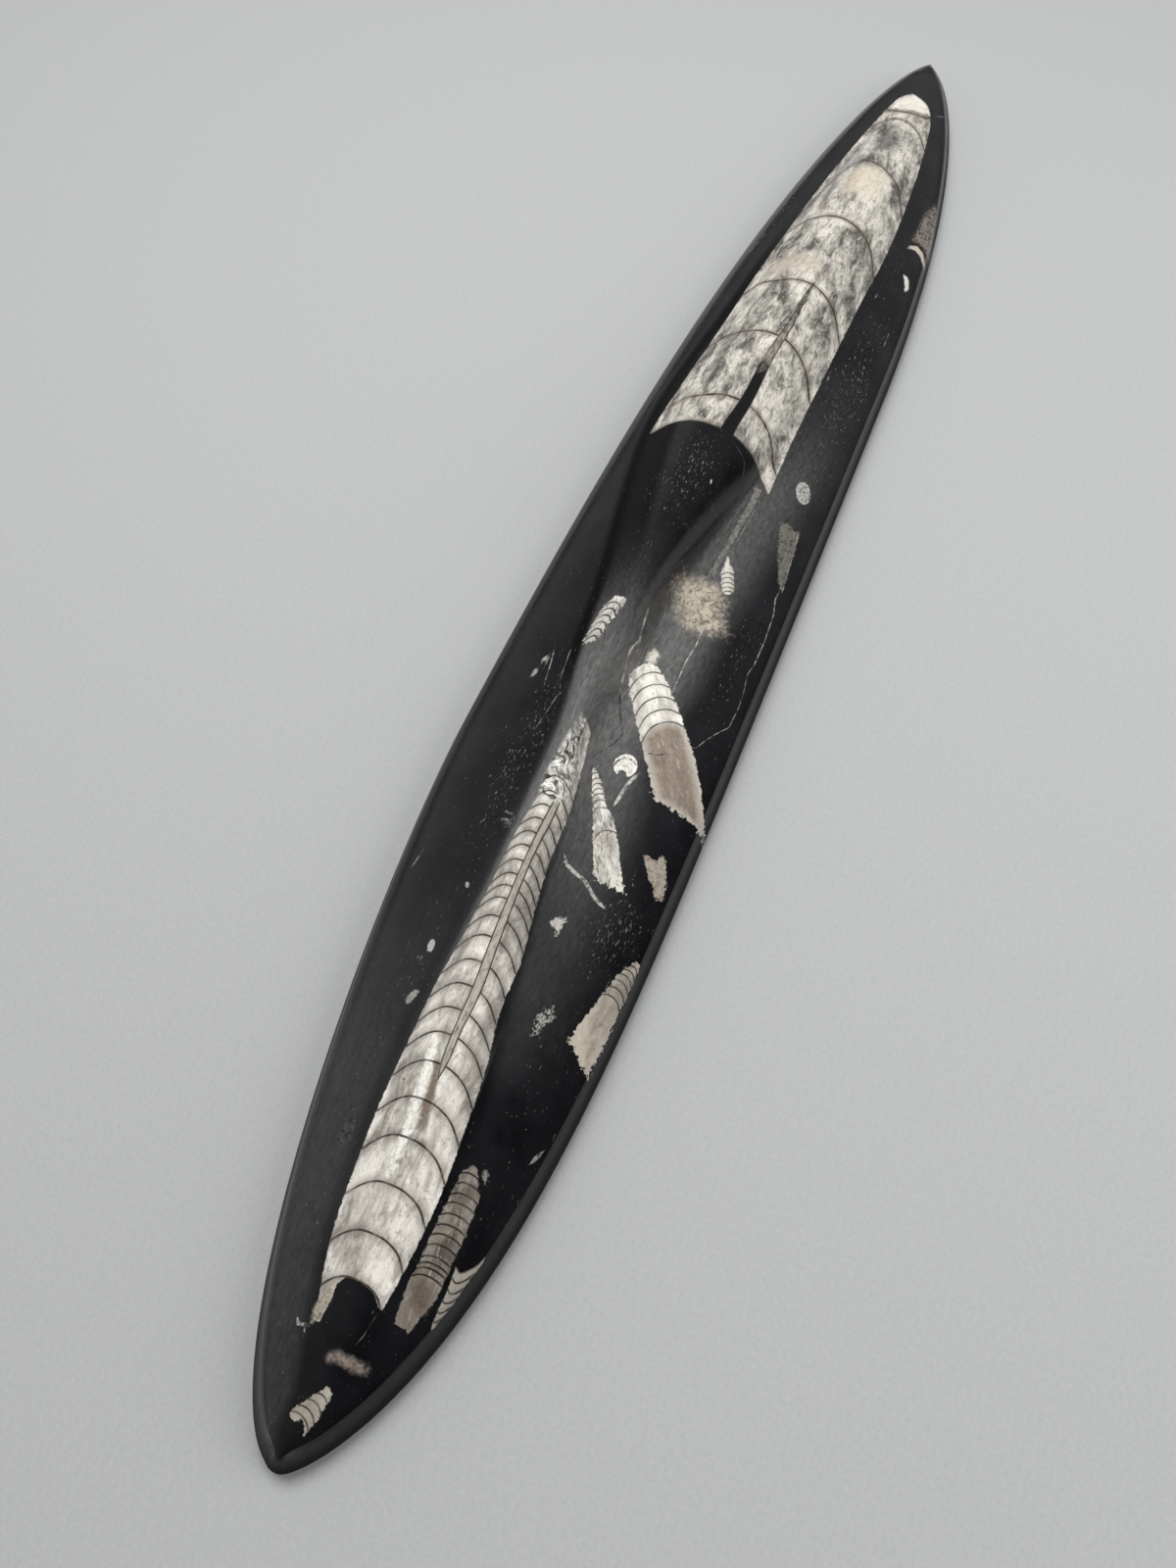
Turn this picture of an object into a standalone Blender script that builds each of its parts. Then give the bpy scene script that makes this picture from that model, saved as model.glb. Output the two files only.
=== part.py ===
"""Polished limestone slab with fossil nautiloids: one leaf-shaped stone, 300 mm long, flat underneath.

Frame: metres, +Z up. The origin is on the ground under the middle of the stone. +X runs along the stone
towards the tip that the large cone points at, and +Y is to the left of that.
"""

import bpy
import bmesh
import numpy as np

MM = 0.001

# Outline. The two long sides swell to their widest at different places, and meet in two blunt points.
LENGTH = 300.0
TIP_Y = -2.8  # the points sit a little to the right of the middle of the width
TIP_ROUNDING = 0.7  # how much of each point is rounded off
LEFT_SIDE = {"width": 24.2, "widest_at": -49.0, "lower": (1.53, 0.51), "upper": (2.41, 0.67)}
RIGHT_SIDE = {"width": 18.6, "widest_at": 48.0, "lower": (7.2, 0.77), "upper": (2.04, 0.64)}

# Edge of the slab, from the table up: an upright side, then a narrow bevel.
SIDE_HEIGHT = 2.6
BEVEL_WIDTH = 1.1
BEVEL_HEIGHT = 1.2
TIP_BEVEL = 2.0  # the bevel is longer round the points

# Shoulders: the pillow-like ground that the ridge stands on.
SHOULDER_RISE = 7.0
SHOULDER_ROUNDNESS = (2.6, 0.62)
SHOULDER_TAPER = 0.75

# Ridge, as stations along the stone: x, its right and left foot y, and the height of its crest.
# It is broad over the large cone, turns in to a point at the middle, and is narrow over the slender cone.
RIDGE = (
    (-141.0, -5.6, -2.6, 5.0),
    (-134.0, -6.6, -0.6, 7.2),
    (-124.0, -7.9, 2.2, 10.2),
    (-110.0, -7.9, 3.9, 12.8),
    (-90.0, -5.9, 4.7, 14.4),
    (-74.0, -3.6, 4.5, 14.6),
    (-58.0, -1.9, 4.9, 14.2),
    (-45.0, 0.6, 5.6, 14.2),
    (-34.0, -1.3, 7.2, 14.9),
    (-18.0, -2.2, 9.0, 16.2),
    (0.0, -5.0, 12.0, 17.4),
    (18.0, -8.2, 14.2, 18.0),
    (50.0, -11.0, 10.8, 17.4),
    (90.0, -11.6, 5.9, 14.6),
    (118.0, -9.6, 0.9, 10.2),
    (136.0, -7.0, -1.0, 6.6),
    (142.0, -5.6, -1.8, 5.2),
)
LEFT_FOOT_BLEND = 1.4  # the ridge meets the left shoulder in a soft hollow
RUN_OUT = 0.3  # how fast the crest sinks past the last stations

# Valley: the right shoulder dips towards the ridge's right foot. x, depth, reach across, and how softly
# the ridge meets it: in a crisp line beside the broad part.
VALLEY = (
    (-134.0, 0.2, 5.0, 1.4),
    (-100.0, 1.4, 5.0, 1.4),
    (-66.0, 2.2, 5.5, 0.8),
    (-40.0, 2.6, 6.0, 0.25),
    (0.0, 2.0, 5.0, 0.25),
    (22.0, 1.0, 4.0, 0.5),
    (60.0, 0.8, 4.0, 0.9),
    (130.0, 0.2, 3.0, 0.9),
)

# Mesh of the stone.
CELLS_ALONG = 110
CELLS_ACROSS = 30
RIM_CROWDING = 0.35  # draws the cells together towards the rim, where the surface turns fastest
TIP_CROWDING = 0.86  # and towards the points
TOP, SIDE_TOP, FOOT = 0, 1, 2  # the three levels of the mesh

STONE_COLOUR = (0.012, 0.012, 0.014, 1.0)
STONE_ROUGHNESS = 0.12


def clear_scene():
    for item in list(bpy.data.objects):
        bpy.data.objects.remove(item)


def side_width(x, side):
    """Distance from the line between the points to one long side."""
    reach = np.where(x < side["widest_at"], LENGTH / 2 + side["widest_at"], LENGTH / 2 - side["widest_at"])
    away = np.abs(x - side["widest_at"]) / reach
    power = np.where(x < side["widest_at"], side["lower"][0], side["upper"][0])
    fullness = np.where(x < side["widest_at"], side["lower"][1], side["upper"][1])
    return side["width"] * np.clip(1.0 - away**power, 0.0, 1.0) ** fullness


def edges(x):
    """The right and left edges of the outline at x."""
    return TIP_Y - side_width(x, RIGHT_SIDE), TIP_Y + side_width(x, LEFT_SIDE)


def along_stations(x, stations, column):
    """A smooth curve through one column of a list of stations, level beyond the first and the last."""
    knots = np.array([row[0] for row in stations])
    values = np.array([row[column] for row in stations])
    slopes = np.gradient(values, knots)
    x = np.clip(x, knots[0], knots[-1])
    i = np.clip(np.searchsorted(knots, x) - 1, 0, len(knots) - 2)
    span = knots[i + 1] - knots[i]
    t = (x - knots[i]) / span
    rise = values[i] * (1 + 2 * t) * (1 - t) ** 2 + values[i + 1] * t**2 * (3 - 2 * t)
    lean = slopes[i] * t * (1 - t) ** 2 + slopes[i + 1] * t**2 * (t - 1)
    return rise + lean * span


def past_ends(x, stations):
    return np.maximum(stations[0][0] - x, 0.0) + np.maximum(x - stations[-1][0], 0.0)


def smooth_max(a, b, blend):
    return 0.5 * (a + b + np.sqrt((a - b) ** 2 + blend**2))


def shoulder_height(x, y):
    """The pillow-like ground, which dips towards the ridge's right foot."""
    right, left = edges(x)
    across = np.clip((2 * y - left - right) / (left - right), -1.0, 1.0)
    power, fullness = SHOULDER_ROUNDNESS
    pillow = (1.0 - np.abs(across) ** power) ** fullness
    taper = ((left - right) / (LEFT_SIDE["width"] + RIGHT_SIDE["width"])) ** SHOULDER_TAPER
    foot, depth, reach = along_stations(x, RIDGE, 1), along_stations(x, VALLEY, 1), along_stations(x, VALLEY, 2)
    dip = depth * np.exp(-np.abs(y - foot) / reach)
    return SIDE_HEIGHT + BEVEL_HEIGHT + (SHOULDER_RISE * taper - dip) * pillow


def top_height(x, y):
    """Height of the polished top: the shoulders, and the round-backed ridge that stands on them."""
    right_foot, left_foot, crest = (along_stations(x, RIDGE, column) for column in (1, 2, 3))
    middle, half_width = (left_foot + right_foot) / 2, (left_foot - right_foot) / 2
    across = (y - middle) / half_width
    foot = np.where(y < middle, shoulder_height(x, right_foot), shoulder_height(x, left_foot))
    drop = smooth_max(crest - foot, 0.6, 0.6)
    ridge = crest - drop * across**2 - RUN_OUT * past_ends(x, RIDGE) ** 1.5
    leftness = 0.5 + 0.5 * np.sin(np.clip(across, -1.0, 1.0) * np.pi / 2)
    blend = along_stations(x, VALLEY, 3) * (1 - leftness) + LEFT_FOOT_BLEND * leftness
    shoulder = shoulder_height(x, y)
    rim = SIDE_HEIGHT + BEVEL_HEIGHT
    return np.maximum(smooth_max(shoulder, ridge, blend * np.minimum((shoulder - rim) / 2, 1.0)), rim)


def place(u, v, level):
    """Where a point of the bent grid lies. u and v run from -1 to 1, along and across."""
    quarter = np.pi / 2 * TIP_CROWDING
    station = (LENGTH / 2 - TIP_ROUNDING) * np.sin(u * quarter) / np.sin(quarter)
    right, left = edges(station)
    middle, half = (left + right) / 2, (left - right) / 2
    across = v + RIM_CROWDING * np.sin(np.pi * v) / np.pi
    x = station + np.sign(u) * TIP_ROUNDING * (1 - across**2) * np.abs(u) ** 24
    if level == FOOT:
        return x, middle + half * across, 0.0 * x
    if level == SIDE_TOP:
        return x, middle + half * across, SIDE_HEIGHT + 0.0 * x
    x = x * (1 - TIP_BEVEL / (LENGTH / 2))
    y = middle + half**2 / (half + BEVEL_WIDTH) * across
    return x, y, top_height(station, y)


def stone_object():
    """A grid with its rim extruded outwards and down, then bent to the outline and raised to the top."""
    bpy.ops.mesh.primitive_grid_add(x_subdivisions=CELLS_ALONG, y_subdivisions=CELLS_ACROSS, size=2.0)
    stone = bpy.context.active_object
    stone.name = stone.data.name = "fossil_stone"
    mesh = bmesh.new()
    mesh.from_mesh(stone.data)
    rim = [edge for edge in mesh.edges if edge.is_boundary]
    for level in (SIDE_TOP, FOOT):
        new = bmesh.ops.extrude_edge_only(mesh, edges=rim)["geom"]
        for vertex in (item for item in new if isinstance(item, bmesh.types.BMVert)):
            vertex.co.z = level
        rim = [item for item in new if isinstance(item, bmesh.types.BMEdge) and item.is_boundary]
    bmesh.ops.contextual_create(mesh, geom=rim)
    for vertex in mesh.verts:
        vertex.co = [MM * float(value) for value in place(vertex.co.x, vertex.co.y, round(vertex.co.z))]
    bmesh.ops.recalc_face_normals(mesh, faces=mesh.faces)
    if mesh.calc_volume(signed=True) < 0.0:
        bmesh.ops.reverse_faces(mesh, faces=mesh.faces)
    mesh.to_mesh(stone.data)
    mesh.free()
    stone.data.shade_smooth()
    stone.data.set_sharp_from_angle(angle=np.radians(40))
    return stone


def stone_material():
    material = bpy.data.materials.new("polished_limestone")
    material.use_nodes = True
    shader = material.node_tree.nodes["Principled BSDF"]
    shader.inputs["Base Color"].default_value = STONE_COLOUR
    shader.inputs["Roughness"].default_value = STONE_ROUGHNESS
    shader.inputs["Metallic"].default_value = 0.0
    return material


def main():
    clear_scene()
    collection = bpy.data.collections.new("orthoceras_fossil")
    bpy.context.scene.collection.children.link(collection)
    stone = stone_object()
    stone.data.materials.append(stone_material())
    for holder in list(stone.users_collection):
        holder.objects.unlink(stone)
    collection.objects.link(stone)


main()
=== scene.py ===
"""Finished looks of a polished limestone slab with fossil nautiloids.

The slab is one stone, so it is one piece: a fine mesh of the form of the solid that it stands for. The
fossils lie flush in its polished face. Each is described by a few sizes in millimetres, and is worked out as
smooth fields on the mesh, such as the distance to its edge, from which the material draws it.
"""

from functools import partial

import bpy
import numpy as np
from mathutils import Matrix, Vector


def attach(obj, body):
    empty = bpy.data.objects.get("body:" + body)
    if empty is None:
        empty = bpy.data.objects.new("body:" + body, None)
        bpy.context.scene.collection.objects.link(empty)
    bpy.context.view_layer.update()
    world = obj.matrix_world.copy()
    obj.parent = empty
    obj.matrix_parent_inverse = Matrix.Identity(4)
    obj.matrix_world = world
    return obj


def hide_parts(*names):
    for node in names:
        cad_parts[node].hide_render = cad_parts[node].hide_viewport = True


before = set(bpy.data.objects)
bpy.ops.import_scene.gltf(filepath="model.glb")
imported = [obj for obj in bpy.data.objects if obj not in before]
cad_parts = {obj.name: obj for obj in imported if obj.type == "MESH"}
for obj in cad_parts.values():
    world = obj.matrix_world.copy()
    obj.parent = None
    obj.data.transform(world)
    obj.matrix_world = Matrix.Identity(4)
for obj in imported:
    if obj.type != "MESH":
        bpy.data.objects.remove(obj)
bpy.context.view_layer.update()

MM = 0.001

# --------------------
# Form of the stone, in millimetres. +X runs along it towards the tip that the large cone points at.

LENGTH = 300.0
TIP_Y = -2.8  # the points sit a little to the right of the middle of the width
TIP_ROUNDING = 0.7
LEFT_SIDE = {"width": 24.2, "widest_at": -49.0, "lower": (1.53, 0.51), "upper": (2.41, 0.67)}
RIGHT_SIDE = {"width": 18.6, "widest_at": 48.0, "lower": (7.2, 0.77), "upper": (2.04, 0.64)}
SIDE_HEIGHT = 2.6
BEVEL_WIDTH = 1.1
BEVEL_HEIGHT = 1.2
TIP_BEVEL = 2.0
SHOULDER_RISE = 7.0
SHOULDER_ROUNDNESS = (2.6, 0.62)
SHOULDER_TAPER = 0.75
RIDGE = (  # x, right foot y, left foot y, crest z
    (-141.0, -5.6, -2.6, 5.0),
    (-134.0, -6.6, -0.6, 7.2),
    (-124.0, -7.9, 2.2, 10.2),
    (-110.0, -7.9, 3.9, 12.8),
    (-90.0, -5.9, 4.7, 14.4),
    (-74.0, -3.6, 4.5, 14.6),
    (-58.0, -1.9, 4.9, 14.2),
    (-45.0, 0.6, 5.6, 14.2),
    (-34.0, -1.3, 7.2, 14.9),
    (-18.0, -2.2, 9.0, 16.2),
    (0.0, -5.0, 12.0, 17.4),
    (18.0, -8.2, 14.2, 18.0),
    (50.0, -11.0, 10.8, 17.4),
    (90.0, -11.6, 5.9, 14.6),
    (118.0, -9.6, 0.9, 10.2),
    (136.0, -7.0, -1.0, 6.6),
    (142.0, -5.6, -1.8, 5.2),
)
LEFT_FOOT_BLEND = 1.4
RUN_OUT = 0.3
VALLEY = (  # x, depth, reach across, how softly the ridge meets it
    (-134.0, 0.2, 5.0, 1.4),
    (-100.0, 1.4, 5.0, 1.4),
    (-66.0, 2.2, 5.5, 0.8),
    (-40.0, 2.6, 6.0, 0.25),
    (0.0, 2.0, 5.0, 0.25),
    (22.0, 1.0, 4.0, 0.5),
    (60.0, 0.8, 4.0, 0.9),
    (130.0, 0.2, 3.0, 0.9),
)
CELLS_ALONG = 620
CELLS_ACROSS = 150
RIM_CROWDING = 0.35
TIP_CROWDING = 0.86
SHARP_FROM = 50.0  # degrees: an edge that turns more stays sharp
TOP, SIDE_TOP, FOOT = 0, 1, 2


def side_width(x, side):
    """Distance from the line between the points to one long side."""
    reach = np.where(x < side["widest_at"], LENGTH / 2 + side["widest_at"], LENGTH / 2 - side["widest_at"])
    away = np.abs(x - side["widest_at"]) / reach
    power = np.where(x < side["widest_at"], side["lower"][0], side["upper"][0])
    fullness = np.where(x < side["widest_at"], side["lower"][1], side["upper"][1])
    return side["width"] * np.clip(1.0 - away**power, 0.0, 1.0) ** fullness


def edges(x):
    """The right and left edges of the outline at x."""
    return TIP_Y - side_width(x, RIGHT_SIDE), TIP_Y + side_width(x, LEFT_SIDE)


def along_stations(x, stations, column):
    """A smooth curve through one column of a list of stations, level beyond the first and the last."""
    knots = np.array([row[0] for row in stations])
    values = np.array([row[column] for row in stations])
    slopes = np.gradient(values, knots)
    x = np.clip(x, knots[0], knots[-1])
    i = np.clip(np.searchsorted(knots, x) - 1, 0, len(knots) - 2)
    span = knots[i + 1] - knots[i]
    t = (x - knots[i]) / span
    rise = values[i] * (1 + 2 * t) * (1 - t) ** 2 + values[i + 1] * t**2 * (3 - 2 * t)
    lean = slopes[i] * t * (1 - t) ** 2 + slopes[i + 1] * t**2 * (t - 1)
    return rise + lean * span


def past_ends(x, stations):
    return np.maximum(stations[0][0] - x, 0.0) + np.maximum(x - stations[-1][0], 0.0)


def smooth_max(a, b, blend):
    return 0.5 * (a + b + np.sqrt((a - b) ** 2 + blend**2))


def shoulder_height(x, y):
    """The pillow-like shoulders, which dip towards the ridge's right foot."""
    right, left = edges(x)
    across = np.clip((2 * y - left - right) / (left - right), -1.0, 1.0)
    power, fullness = SHOULDER_ROUNDNESS
    pillow = (1.0 - np.abs(across) ** power) ** fullness
    taper = ((left - right) / (LEFT_SIDE["width"] + RIGHT_SIDE["width"])) ** SHOULDER_TAPER
    foot = along_stations(x, RIDGE, 1)
    depth, reach = along_stations(x, VALLEY, 1), along_stations(x, VALLEY, 2)
    dip = depth * np.exp(-np.abs(y - foot) / reach)
    return SIDE_HEIGHT + BEVEL_HEIGHT + (SHOULDER_RISE * taper - dip) * pillow


def top_height(x, y):
    """Height of the polished top: the shoulders, and the round-backed ridge that stands on them."""
    right_foot, left_foot, crest = (along_stations(x, RIDGE, column) for column in (1, 2, 3))
    middle, half_width = (left_foot + right_foot) / 2, (left_foot - right_foot) / 2
    across = (y - middle) / half_width
    foot = np.where(y < middle, shoulder_height(x, right_foot), shoulder_height(x, left_foot))
    drop = smooth_max(crest - foot, 0.6, 0.6)
    ridge = crest - drop * across**2 - RUN_OUT * past_ends(x, RIDGE) ** 1.5
    leftness = 0.5 + 0.5 * np.sin(np.clip(across, -1.0, 1.0) * np.pi / 2)
    blend = along_stations(x, VALLEY, 3) * (1 - leftness) + LEFT_FOOT_BLEND * leftness
    shoulder = shoulder_height(x, y)
    rim = SIDE_HEIGHT + BEVEL_HEIGHT
    return np.maximum(smooth_max(shoulder, ridge, blend * np.minimum((shoulder - rim) / 2, 1.0)), rim)


def place(u, v, level):
    """Where a point of the bent grid lies. u and v run from -1 to 1, along and across."""
    quarter = np.pi / 2 * TIP_CROWDING
    station = (LENGTH / 2 - TIP_ROUNDING) * np.sin(u * quarter) / np.sin(quarter)
    right, left = edges(station)
    middle, half = (left + right) / 2, (left - right) / 2
    across = v + RIM_CROWDING * np.sin(np.pi * v) / np.pi
    foot_x = station + np.sign(u) * TIP_ROUNDING * (1 - across**2) * np.abs(u) ** 24
    on_top = level == TOP
    x = np.where(on_top, foot_x * (1 - TIP_BEVEL / (LENGTH / 2)), foot_x)
    y = middle + np.where(on_top, half**2 / (half + BEVEL_WIDTH), half) * across
    z = np.where(on_top, top_height(station, y), np.where(level == SIDE_TOP, SIDE_HEIGHT, 0.0))
    return x, y, z


def stone_form():
    """A grid with its rim extruded down twice and closed, then bent to the outline and raised to the top."""
    bpy.ops.object.select_all(action="DESELECT")
    bpy.ops.mesh.primitive_grid_add(x_subdivisions=CELLS_ALONG, y_subdivisions=CELLS_ACROSS, size=2.0)
    stone = bpy.context.active_object
    stone.name = stone.data.name = "polished_stone"
    bpy.ops.object.mode_set(mode="EDIT")
    bpy.ops.mesh.region_to_loop()
    for level in (SIDE_TOP, FOOT):
        bpy.ops.mesh.extrude_region_move(TRANSFORM_OT_translate={"value": (0.0, 0.0, 1.0)})
    bpy.ops.mesh.edge_face_add()
    bpy.ops.object.mode_set(mode="OBJECT")
    points = read_points(stone.data)
    x, y, z = place(points[:, 0], points[:, 1], np.round(points[:, 2]))
    stone.data.vertices.foreach_set("co", (np.stack([x, y, z], axis=1) * MM).ravel())
    bpy.ops.object.mode_set(mode="EDIT")
    bpy.ops.mesh.select_all(action="SELECT")
    bpy.ops.mesh.normals_make_consistent(inside=False)
    bpy.ops.object.mode_set(mode="OBJECT")
    bpy.ops.object.shade_smooth_by_angle(angle=np.radians(SHARP_FROM))
    return stone


def read_points(mesh):
    points = np.empty(len(mesh.vertices) * 3)
    mesh.vertices.foreach_get("co", points)
    return points.reshape(-1, 3)


# --------------------
# Fossils. A shell is cut lengthwise. "tip" and "mouth" are the ends of its axis. "walls" rows give the
# distance along the axis and the left and the right wall across it. Cross walls are "lines", rows of the
# distance along the axis at ARC_PLACES from wall to wall, or "septa", where they meet the axis, with "arc",
# how far each lags behind at ARC_PLACES as a share of the half width. "line" is their own half width. "tube"
# rows give the distance along, the middle, the half width and the darkness of the tube that joins the
# chambers. "end" is where the shell stops at its left and its right wall, and "torn" how torn it is there.
# "grain" is how clouded and how speckled it is, and how shaded beside each cross wall. "seed" sets its clouds
# apart. "filling" is the colour past its last cross wall, if it isn't the body's.

ARC_PLACES = (-1.0, -0.75, -0.4, 0.0, 0.4, 0.75, 1.0)

LARGE_CONE = {
    "tip": (130, 0), "mouth": (9, 0), "end": (121, 121), "ends_at_last": True,
    "walls": ((0, 2.8, 2.8), (2, 0.9, 6), (5, -0.2, 7.9), (8, -0.9, 8.9), (14, -2.2, 9.8), (22, -3.6, 10.6),
              (35, -5.7, 11.4), (54, -8, 11.8), (70, -9.8, 11.1), (92, -11.4, 10.3), (104, -12.5, 9.9),
              (116, -14.1, 9.8), (121, -14.6, 9.8)),
    "lines": ((8.1, 8.6, 9.3, 9.4, 9, 7.8, 6.2), (15.2, 13.9, 12.9, 13.5, 14.5, 15.9, 18.2),
              (50, 38.5, 33.8, 34.6, 35.9, 37.4, 41.8), (55.8, 55.5, 56, 56.4, 56.9, 58.2, 62),
              (76.2, 75.9, 77.6, 77.4, 77.4, 78.8, 82), (93.6, 93.3, 93.4, 92.9, 92.8, 94.4, 98),
              (110.6, 110.5, 111, 110.3, 109.9, 111.5, 116.5),
              (115.8, 116.4, 117.2, 117.5, 116.8, 117.3, 121)),
    "tube": ((76.2, 2.8, 0.12, 0.6), (79, 2.5, 0.28, 0.55), (83, 2.3, 0.42, 0.55), (88, 2.15, 0.52, 0.5),
             (93, 1.7, 0.66, 0.45), (98, 1.2, 0.78, 0.4), (101, 1.1, 0.86, 0.7), (104, 1.05, 0.92, 1.3),
             (110, 0.8, 0.98, 1.4), (115.5, 0.2, 1.1, 1.4), (118, 0.1, 1.2, 1.4)),
    "line": 0.2, "grain": (1, 0.8, 1), "ragged": 0.12, "seed": 3,
    "body": "#DDD8CD", "cloud": "#5C5954", "filling": "#E7E2D8",
}
SLENDER_CONE = {
    "tip": (-45, 0), "mouth": (-134.5, 0), "end": (89, 87),
    "walls": ((0, -1.4, -0.6), (8, -2.2, 0.9), (15, -2.4, 2), (23, -3.4, 2.5), (30, -3.4, 3.4),
              (38, -3.8, 4.7), (46, -4.5, 5.2), (54, -4.5, 6.6), (62, -4.4, 7.3), (70, -3.8, 7.8),
              (80, -2.5, 7.4), (85, -1.2, 6.8), (89, 0.2, 6)),
    "septa": (11.6, 14.2, 16.6, 19, 21.3, 23.6, 26, 28.2, 30.1, 32, 34.8, 37.8, 41.5, 45, 48.4, 51.8, 55.7,
              60.5, 65.4, 71.2, 77.1, 82.5),
    "arc": (0.52, 0.26, 0.04, -0.02, 0.02, 0.2, 0.5),
    "tube": ((10.5, 0.2, -0.1, 0), (14, 0.3, 0.32, 0), (25.8, 0.4, 0.5, 0.1), (37.4, 1.1, 0.62, 0.1),
             (45, 1.7, 0.66, 0.1), (51.5, 1.7, 0.56, 0.1), (55.4, 1.9, 0.45, 0.1), (58, 2, 0, 0.1),
             (60, 2, -0.3, 0.1)),
    "line": 0.14, "grain": (0.9, 0.5, 0.8), "ragged": 0.16, "seed": 11,
    "body": "#F1ECE2", "cloud": "#8A857D", "filling": "#A89C8D",
}
LEANING_CONE = {  # with the tan chamber
    "tip": (-31.9, -3.1), "mouth": (-53.2, -16.5), "end": (22.5, 28), "torn": 0.9,
    "walls": ((-1.7, 0, 0.6), (-1.2, -1, 1.4), (-0.6, -1.8, 1.95), (0.4, -2.35, 2.3), (6.3, -3.05, 3.4),
              (12.6, -3, 4.2), (18.8, -2.9, 4.7), (28, -2.7, 4.2)),
    "septa": (0.5, 3, 5.55, 7.9, 10.15),
    "arc": (0.8, 0.45, 0.14, 0, -0.02, 0.1, 0.32),
    "line": 0.13, "grain": (0.75, 0.4, 0.3), "ragged": 0.4, "seed": 19,
    "body": "#FBF7EE", "cloud": "#A09C94", "filling": "#9C8F81",
}
THIN_CONE = {  # speckled, beside the leaning one
    "tip": (-50.8, -2.2), "mouth": (-68.2, -11.9), "end": (18.4, 20.8), "torn": 0.7,
    "walls": ((0, -0.2, 0.2), (2.8, -0.53, 0.8), (4.5, -0.7, 0.96), (7, -0.9, 1.1), (8.4, -1.05, 1.7),
              (10.5, -1.3, 2), (13.7, -1.65, 2.1), (16, -1.85, 2), (21, -1.95, 1.9)),
    "septa": (1, 2, 2.9, 3.8, 4.7, 5.7, 6.9, 10.9),
    "arc": (0.8, 0.4, 0.1, 0, 0.05, 0.2, 0.4),
    "line": 0.1, "grain": (1, 1, 0.2), "ragged": 0.3, "seed": 23,
    "body": "#E6E2D9", "cloud": "#6B6963", "filling": "#D9D5CC",
}
RIM_CONE = {  # on the right rim
    "tip": (-75.8, -19.5), "mouth": (-91.5, -17.3), "end": (14.9, 17.4), "torn": 0.4,
    "walls": ((0, -0.3, 0.2), (1.8, -1.07, 0.55), (3.6, -1.62, 0.75), (6.2, -1.85, 0.95), (8.9, -2.1, 1.2),
              (11.5, -2.4, 1.5), (14.9, -2.56, 1.75), (17.6, -2.5, 1.95)),
    "septa": (0.9, 1.8, 2.7, 3.8, 5, 6.4),
    "arc": (0.35, 0.15, 0.02, 0, 0.1, 0.35, 0.7),
    "line": 0.11, "grain": (0.9, 0.3, 0.2), "ragged": 0.4, "seed": 31,
    "body": "#CBC4B8", "cloud": "#837B70", "filling": "#BBB0A1",
}
BANDED_CONE = {  # near the lower end
    "tip": (-109.7, -10.2), "mouth": (-130.2, -10.2), "end": (20.2, 20.6),
    "walls": ((0, -0.3, 0.3), (1.4, -1.2, 1), (2.9, -1.3, 1.9), (5, -1.4, 2.2), (11, -1.6, 2.2),
              (13.4, -1.6, 2.1), (16.1, -1.7, 2), (18, -1.6, 1.4), (20.6, -1.3, 0.6)),
    "septa": (1.1, 2.35, 3.7, 4.85, 6.3, 7.7, 8.9, 10.2, 11.7, 12.5, 13.1, 14),
    "arc": (0.35, 0.16, 0.03, 0, 0.02, 0.1, 0.2),
    "line": 0.13, "grain": (1, 0.6, 0.6), "ragged": 0.3, "seed": 37,
    "body": "#928C83", "cloud": "#4C4843", "filling": "#8E877F",
}
CUT_CONE = {  # cut by the right rim beside the banded one; its cross walls sag the other way
    "tip": (-118.5, -14.6), "mouth": (-129, -13.2), "end": (10.7, 10.7), "starts_at_first": True,
    "walls": ((-0.5, -1.5, 1.16), (1.9, -1.4, 1.05), (3, -1.3, 0.9), (4.1, -1.1, 0.78), (6, -0.75, 0.6),
              (8.2, -0.6, 0.3), (9.2, -0.5, 0.15), (10.7, -0.1, -0.1)),
    "lines": ((3, 3.2, 3.4, 3.1, 2.4, 1.4, -0.4), (4.3, 4.5, 4.65, 4.5, 4.1, 3.5, 2.6),
              (5.7, 5.9, 6, 5.9, 5.6, 5.1, 4.6), (7.1, 7.2, 7.25, 7.1, 6.9, 6.5, 6),
              (8.3, 8.5, 8.55, 8.4, 8.2, 7.8, 7.4), (9.4, 9.6, 9.7, 9.6, 9.4, 9.1, 8.8)),
    "line": 0.12, "grain": (0.5, 0.3, 0.2), "ragged": 0.15, "seed": 41,
    "body": "#ADA79C", "cloud": "#7D776D",
}
END_CONE = {  # at the lower end
    "tip": (-139.4, -4.9), "mouth": (-144.3, -2.8), "end": (5, 5.4),
    "walls": ((0, -0.5, 0.5), (1.4, -0.9, 1), (2.7, -1.2, 1.2), (4.1, -1.5, 1.4), (5.4, -1.5, 1.5)),
    "septa": (0.9, 2, 3.1, 4.1),
    "arc": (0.4, 0.2, 0.05, 0, 0.05, 0.2, 0.4),
    "line": 0.11, "grain": (0.5, 0.3, 0.2), "ragged": 0.3, "seed": 43,
    "body": "#B5AEA2", "cloud": "#837D73",
}
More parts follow.
